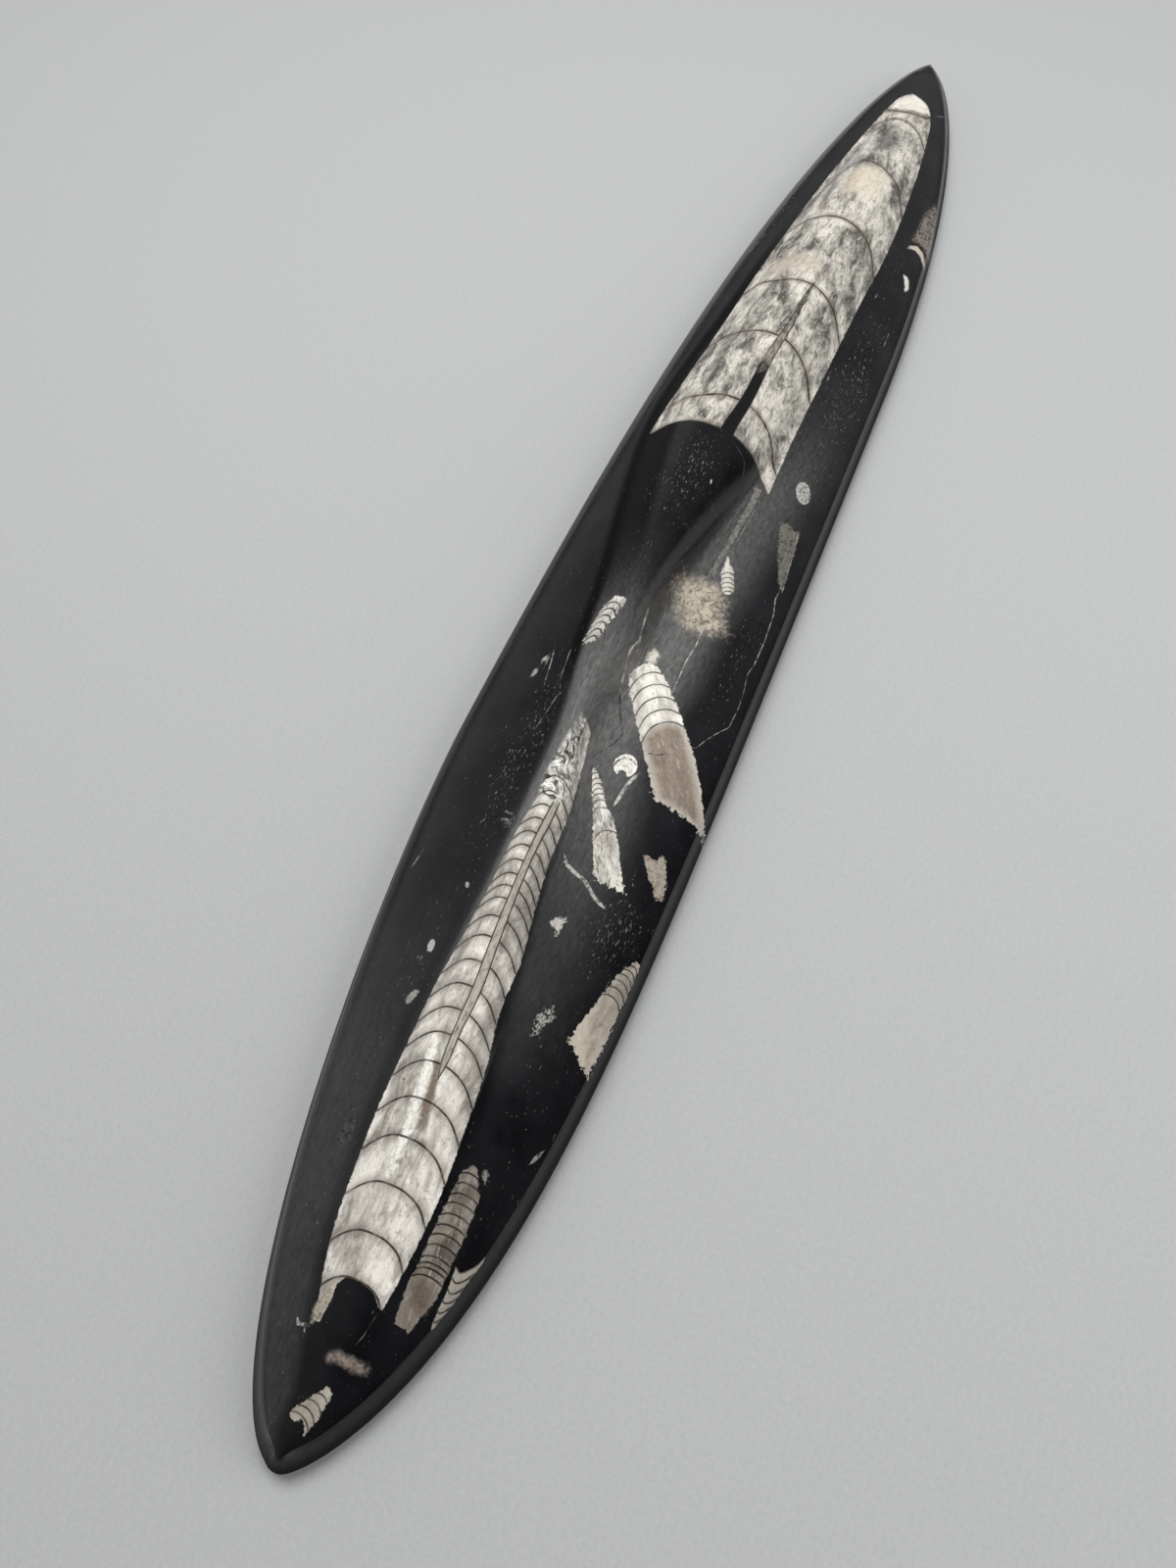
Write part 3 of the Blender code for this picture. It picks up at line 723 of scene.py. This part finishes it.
def colour(hex_code):
    """sRGB hex to linear."""
    values = [int(hex_code[i : i + 2], 16) / 255 for i in (1, 3, 5)]
    return (*(v / 12.92 if v <= 0.04045 else ((v + 0.055) / 1.055) ** 2.4 for v in values), 1.0)


def add_node(tree, kind, *values, **named):
    """Adds a node of some kind. An input is a value, a socket, or a node whose result is used."""
    node_type, settings, *places = kind
    node = tree.nodes.new(node_type)
    for name, setting in settings.items():
        setattr(node, name, setting)
    for key, value in [*zip(places or range(5), values), *named.items()]:
        if isinstance(value, bpy.types.Node):
            value = value.outputs[2 if getattr(value, "data_type", "") == "RGBA" else 0]
        if isinstance(value, bpy.types.NodeSocket):
            tree.links.new(value, node.inputs[key])
        else:
            node.inputs[key].default_value = value
    return node


def stored(add, name):
    """A vector field of the mesh, and its three parts."""
    whole = add(("ShaderNodeAttribute", {"attribute_name": name})).outputs["Vector"]
    return whole, add(PARTS, whole).outputs


def in_millimetres(add):
    return add(STRETCH, add(POSITION).outputs["Object"], (1 / MM,) * 3)


def ragged_edge(add, distance, amount, soft, place):
    """1 inside an outline and 0 outside it, with a wandering edge."""
    wander = add(NOISE, Vector=place, Scale=RAGGED_BAYS, Detail=4.0, Roughness=0.65)
    wander = add(TIMES, add(MINUS, wander, 0.5), amount)
    distance = add(TIMES_PLUS, wander, 3.2, distance)
    return add(SOFT_RANGE, distance, add(TIMES, soft, -1.0), soft)


def line_mask(add, offset, half):
    """1 on a line whose signed distance and half width are given."""
    depth = add(MINUS, half, add(SIZE, offset))
    return add(SOFT_RANGE, depth, -0.05, 0.07)


def strokes(add, course):
    """How clouded the calcite is, in strokes drawn out along the shell, a finer noise, and thin threads."""
    course = add(STRETCH, course, DRAWN_OUT_CALCITE)
    broad = add(NOISE, Vector=course, Scale=BROAD_CLOUDS, Detail=1.0, Distortion=0.6)
    clouds = add(NOISE, Vector=course, Scale=BRUSHED_CLOUDS, Detail=8.0, Roughness=0.66, Distortion=0.9)
    clouds = add(RANGE, add(TIMES_PLUS, broad, 0.7, clouds), 0.7, 1.02)
    fine = add(NOISE, Vector=course, Scale=FINE_STROKES, Detail=4.0, Roughness=0.6, Distortion=0.8)
    threads = add(NOISE, Vector=course, Scale=THREADS, Detail=6.0, Distortion=1.6)
    threads = add(SIZE, add(MINUS, threads, 0.5))
    threads = add(RANGE, threads, 0.0, 0.022, 1.0, 0.0)
    return clouds, fine, add(TIMES, threads, add(RANGE, broad, 0.45, 0.6, 0.1, 0.8))


def calcite(add, outline, clouds):
    """White calcite with grey clouds. Past the last cross wall it is tan sediment, paler along the shell."""
    body, cloud, filling = (stored(add, name)[0] for name in ("body", "cloud", "filling"))
    sediment = add(MIX, add(TIMES, clouds, 0.75), filling, colour("#6A5F54"))
    margin = add(RANGE, add(SMALLER, outline[0], outline[2]), 0.1, 1.4, 0.35, 0.0)
    sediment = add(MIX, margin, sediment, body)
    past_last = add(RANGE, outline[2], -0.05, 0.05)
    return add(MIX, past_last, add(MIX, clouds, body, cloud), sediment)


def with_strokes(add, look, fine, threads, speckled, place):
    """Lays dark strokes, specks and threads, and bright strokes, over what is given."""
    dark = add(RANGE, add(TIMES_PLUS, speckled, 0.04, fine), 0.59, 0.68, 0.0, 0.8)
    specks = add(NOISE, Vector=place, Scale=SPECKS, Detail=3.0, Roughness=0.6)
    dark = add(LARGER, dark, add(RANGE, specks, 0.6, 0.68, 0.0, 0.8))
    dark = add(LARGER, dark, add(TIMES, threads, 0.75))
    look = add(MIX, add(TIMES_WITHIN_1, dark, speckled), look, colour("#474440"))
    bright = add(RANGE, fine, 0.42, 0.32, 0.0, 0.5)
    return add(MIX, add(TIMES, bright, speckled), look, colour("#FBF8F2"))


def with_tube(add, look, fine):
    """Draws the tube, with a pale or a black filling between dark borders, and gives its place as well."""
    offset, half, darkness = stored(add, "tube")[1]
    filling = add(RAMP, add(MINUS_WITHIN_1, add(TIMES_PLUS, fine, 1.8, darkness), 0.9))
    stops = filling.color_ramp.elements
    stops[0].color, stops[1].color = colour("#B3ADA2"), colour("#0E0E10")
    stops.new(0.6).color = colour("#57524C")
    in_tube = line_mask(add, offset, half)
    look = add(MIX, in_tube, look, colour("#2B2621"))
    inner = line_mask(add, offset, add(MINUS, half, TUBE_BORDER))
    return add(MIX, inner, look, filling), in_tube


def filled_shell(add, place):
    """What fills a shell, its cross walls, which stop at the tube, and where the shell is."""
    outline, septa, grain = (stored(add, name)[1] for name in ("outline", "septa", "grain"))
    clouds, fine, threads = strokes(add, stored(add, "course")[0])
    look = calcite(add, outline, add(TIMES, clouds, grain[0]))
    look = with_strokes(add, look, fine, threads, grain[1], place)

    # the phase is a whole number on each cross wall
    phase = add(FRACTION, add(PLUS, septa[0], 0.5))
    from_wall = add(TIMES, add(MINUS, phase, 0.5), septa[1])
    shade = add(RANGE, add(SIZE, from_wall), *WALL_SHADE, 0.65, 0.0)
    look = add(MIX, add(TIMES, shade, grain[2]), look, colour("#6F655A"))
    look, in_tube = with_tube(add, look, fine)

    walls = add(MINUS_WITHIN_1, line_mask(add, from_wall, septa[2]), in_tube)
    breaks = add(NOISE, Vector=place, Scale=WALL_BREAKS, Detail=3.0)
    walls = add(TIMES, walls, add(RANGE, breaks, 0.35, 0.55, 0.65, 0.95))
    inside = ragged_edge(add, outline[0], outline[1], EDGE_SOFTNESS, place)
    return look, add(TIMES, walls, inside), inside


def black_stone(add, place, satin_and_painted_sheen, flecked, matt_and_painted_shade):
    """Black limestone with faint clouds and pale flecks, greyer and streaked where the polish is duller, a
    grey that is partly painted sheen, and a darker black, painted shade, where it is unpolished.
    """
    clouds = add(NOISE, Vector=place, Scale=STONE_CLOUDS, Detail=5.0, Roughness=0.6)
    stone = add(MIX, add(RANGE, clouds, 0.4, 0.7), colour("#0C0C0F"), colour("#1A1A1D"))
    # painted shade: the unpolished rim and flank are drawn in a darker black
    stone = add(MIX, matt_and_painted_shade, stone, colour("#070708"))
    place = add(STRETCH, place, DRAWN_OUT_STONE)
    streaks = add(NOISE, Vector=place, Scale=STONE_STREAKS, Detail=6.0, Roughness=0.7)
    # partly painted sheen: this grey stands in part for the soft reflection of the room in the duller polish
    dull_grey_and_painted_sheen = add(MIX, add(RANGE, streaks, 0.35, 0.65), colour("#575757"), colour("#858482"))
    stone = add(MIX, satin_and_painted_sheen, stone, dull_grey_and_painted_sheen)
    flecks = add(NOISE, Vector=place, Scale=FLECKS, Detail=4.0, Roughness=0.6)
    flecks = add(RANGE, add(TIMES_PLUS, flecked, 0.13, flecks), 0.70, 0.80, 0.0, 0.6)
    return add(MIX, flecks, stone, colour("#9A968E"))


def with_patches(add, look, place):
    """Lays the patches over what is given."""
    edge, grain = stored(add, "patch")[1], stored(add, "patch_grain")[1]
    scale = add(TIMES, grain[1], PATCH_CLOUDS)
    clouds = add(NOISE, Vector=place, Scale=scale, Detail=6.0, Roughness=0.7, Distortion=1.2)
    clouds = add(TIMES_WITHIN_1, add(RANGE, clouds, 0.44, 0.64), grain[0])
    patch = add(MIX, clouds, stored(add, "patch_body")[0], stored(add, "patch_cloud")[0])
    return add(MIX, ragged_edge(add, *edge, place), look, patch)


def with_lines(add, look, name, hex_code, place):
    """Draws the fine lines of one kind over what is given, broken up into bright and faint lengths."""
    offset, half, strength = stored(add, name)[1]
    mask = add(TIMES, line_mask(add, offset, half), strength)
    broken = add(NOISE, Vector=place, Scale=LINE_BREAKS, Detail=5.0, Roughness=0.75)
    mask = add(TIMES, mask, add(RANGE, broken, 0.43, 0.56, 0.08, 1.0))
    return add(MIX, mask, look, colour(hex_code))


def with_crystals(add, look, crystals, place):
    """Bright and dark loose crystal where the slender cone starts."""
    grains = add(NOISE, Vector=place, Scale=CRYSTAL_GRAINS, Detail=4.0, Roughness=0.75, Distortion=1.2)
    shades = add(RAMP, grains)
    stops = shades.color_ramp.elements
    stops[0].position, stops[1].position = 0.4, 0.6
    stops[0].color, stops[1].color = colour("#33312E"), colour("#FFFDF8")
    stops.new(0.5).color = colour("#A5A29B")
    return add(MIX, crystals, look, shades)


def new_material(name):
    """A material, what adds nodes to it, what links them, and the inputs of its shader."""
    material = bpy.data.materials.new(name)
    material.use_nodes = True
    tree = material.node_tree
    return material, partial(add_node, tree), tree.links.new, tree.nodes["Principled BSDF"].inputs


def polished_limestone():
    """Black limestone with calcite-filled shells, worked by grinding and buffed: a deep gloss that mirrors
    the room, duller and greyer in the valley, the grey partly a painted sheen, and unpolished round the rim,
    its darker black there a painted shade."""
    material, add, link, shader = new_material("polished_fossil_limestone")
    place = in_millimetres(add)
    # the first share greys the stone, partly with painted sheen; the second darkens it with painted shade
    (satin_and_painted_sheen, crystals, flecked), (matt_and_painted_shade, _, _) = stored(add, "finish")[1], stored(add, "ground")[1]
    shell, walls, inside = filled_shell(add, place)
    look = add(MIX, inside, black_stone(add, place, satin_and_painted_sheen, flecked, matt_and_painted_shade), shell)
    look = with_crystals(add, look, crystals, place)
    look = with_patches(add, look, place)
    look = add(MIX, walls, look, colour("#28231E"))
    look = with_lines(add, look, "crack", "#221E1A", place)
    look = with_lines(add, look, "vein", "#C9C5BC", place)
    link(look.outputs[2], shader["Base Color"])

    smears = add(NOISE, Vector=place, Scale=POLISH_SMEARS, Detail=4.0)
    gloss = add(RANGE, smears, 0.35, 0.65, *GLOSS)
    roughness = add(MIX_NUMBERS, satin_and_painted_sheen, gloss, SATIN_ROUGHNESS)
    roughness = add(MIX_NUMBERS, matt_and_painted_shade, roughness, MATT_ROUGHNESS)
    link(roughness.outputs[0], shader["Roughness"])
    shader["IOR"].default_value = 1.45
    return material


def pale_table():
    """Matt white laminate with a very fine grain: a plain pale ground."""
    material, add, link, shader = new_material("matt_white_laminate")
    grain = add(NOISE, Vector=in_millimetres(add), Scale=TABLE_GRAIN, Detail=4.0, Roughness=0.8)
    shade = add(MIX, add(RANGE, grain, 0.3, 0.7), colour("#AFB0B0"), colour("#BBBCBC"))
    link(shade.outputs[2], shader["Base Color"])
    shader["Roughness"].default_value = 0.7
    return material


# --------------------
# Texture map, table, light and camera

MAP_SPAN = 140.0  # millimetres of the top across the whole map
MAP_STRIP = 100.0  # the top is cut into three lengths, laid side by side
MAP_PITCH = 46.4
MAP_SCALE_BELOW = 0.98 / LENGTH
MAP_BASE, MAP_RIGHT_SIDE, MAP_LEFT_SIDE = 0.92, 0.77, 0.74
LEVEL_ENOUGH = 0.3  # a face that looks up or down by more isn't part of the side
TABLE_SIZE = 4.0  # metres


def lay_out_map(stone):
    """A texture map of the stone: its top in three lengths, and its sides and base above them, smaller."""
    mesh = stone.data
    points = read_points(mesh) / MM
    corners = np.empty(len(mesh.loops), dtype=np.int32)
    mesh.loops.foreach_get("vertex_index", corners)
    totals = np.empty(len(mesh.polygons), dtype=np.int32)
    mesh.polygons.foreach_get("loop_total", totals)
    centres, normals = np.empty(len(totals) * 3), np.empty(len(totals) * 3)
    mesh.polygons.foreach_get("center", centres)
    mesh.polygons.foreach_get("normal", normals)
    centre = np.repeat(centres.reshape(-1, 3) / MM, totals, axis=0)
    facing = np.repeat(normals.reshape(-1, 3)[:, 2], totals)
    x, y, z = points[corners].T
    length = np.clip((centre[:, 0] + LENGTH / 2) // MAP_STRIP, 0, 2)
    top_u = ((length + 0.5) * MAP_PITCH + y) / MAP_SPAN + 0.002
    top_v = (x + LENGTH / 2 - length * MAP_STRIP) / MAP_SPAN + 0.004
    below_u = (x + LENGTH / 2) * MAP_SCALE_BELOW + 0.01
    base_v = MAP_BASE + y * MAP_SCALE_BELOW
    side_v = np.where(centre[:, 1] > TIP_Y, MAP_LEFT_SIDE, MAP_RIGHT_SIDE) + z * MAP_SCALE_BELOW
    u = np.where(facing > LEVEL_ENOUGH, top_u, below_u)
    v = np.where(facing > LEVEL_ENOUGH, top_v, np.where(facing < -LEVEL_ENOUGH, base_v, side_v))
    layer = mesh.uv_layers.new(name="OFBake")
    layer.data.foreach_set("uv", np.stack([u, v], axis=1).ravel())


HEADING = -67.39  # degrees from +X to the right of the view
CAMERA_PLACE = (-124.69, -32.09, 159.82)
CAMERA_TILT = 27.0  # from straight down
LENS = 26.0
RIGHT = np.array([np.cos(np.radians(HEADING)), np.sin(np.radians(HEADING)), 0.0])
AWAY = np.array([-RIGHT[1], RIGHT[0], 0.0])
UP = np.array([0.0, 0.0, 1.0])


def table():
    bpy.ops.object.select_all(action="DESELECT")
    bpy.ops.mesh.primitive_plane_add(size=TABLE_SIZE)
    floor = bpy.context.active_object
    floor.name = "table"
    floor.data.materials.append(pale_table())


def camera():
    data = bpy.data.cameras.new("camera")
    data.lens = LENS
    data.sensor_width = 36.0
    data.clip_start = 0.01
    eye = bpy.data.objects.new("camera", data)
    eye.location = [MM * value for value in CAMERA_PLACE]
    eye.rotation_euler = (np.radians(CAMERA_TILT), 0.0, np.radians(HEADING))
    bpy.context.scene.collection.objects.link(eye)
    bpy.context.scene.camera = eye


def softbox(name, away, right, up, size, power):
    """A large soft lamp that lights the scene but isn't mirrored in the polish. Its sizes are in metres."""
    data = bpy.data.lights.new(name, "AREA")
    data.size = size
    data.energy = power
    lamp = bpy.data.objects.new(name, data)
    spot = AWAY * away + RIGHT * right + UP * up
    lamp.location = spot
    lamp.rotation_euler = Vector(spot).to_track_quat("Z", "Y").to_euler()
    lamp.visible_glossy = False
    bpy.context.scene.collection.objects.link(lamp)


def room():
    """A pale room: bright beyond the stone and to its left, dim low down, overhead and behind the viewer."""
    world = bpy.data.worlds.new("room")
    bpy.context.scene.world = world
    world.use_nodes = True
    tree = world.node_tree
    add = partial(add_node, tree)
    direction = add(POSITION).outputs["Generated"]
    away = add(TOWARDS, direction, tuple(AWAY)).outputs["Value"]
    left = add(TOWARDS, direction, tuple(-RIGHT)).outputs["Value"]
    up = add(PARTS, direction).outputs[2]
    beyond = add(SOFT_RANGE, away, -0.05, 0.35, 0.05, 0.3)
    beside = add(RANGE, left, 0.0, 1.0, 0.0, 0.42)
    above = add(SOFT_RANGE, up, -0.02, 0.3, 0.3, 1.0)
    level = add(TIMES, add(PLUS, beyond, beside), above)
    tree.links.new(level.outputs[0], tree.nodes["Background"].inputs["Strength"])
    tree.nodes["Background"].inputs["Color"].default_value = (1.0, 1.0, 1.0, 1.0)


def main():
    stone = stone_form()
    store_fields(stone)
    lay_out_map(stone)
    stone.data.materials.append(polished_limestone())
    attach(stone, "root")
    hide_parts("fossil_stone")
    table()
    camera()
    room()
    softbox("key", away=0.13, right=-0.08, up=0.5, size=0.33, power=2.35)
    softbox("fill", away=-0.1, right=0.45, up=0.35, size=0.5, power=1.8)
    bpy.context.scene.view_settings.view_transform = "Standard"


main()
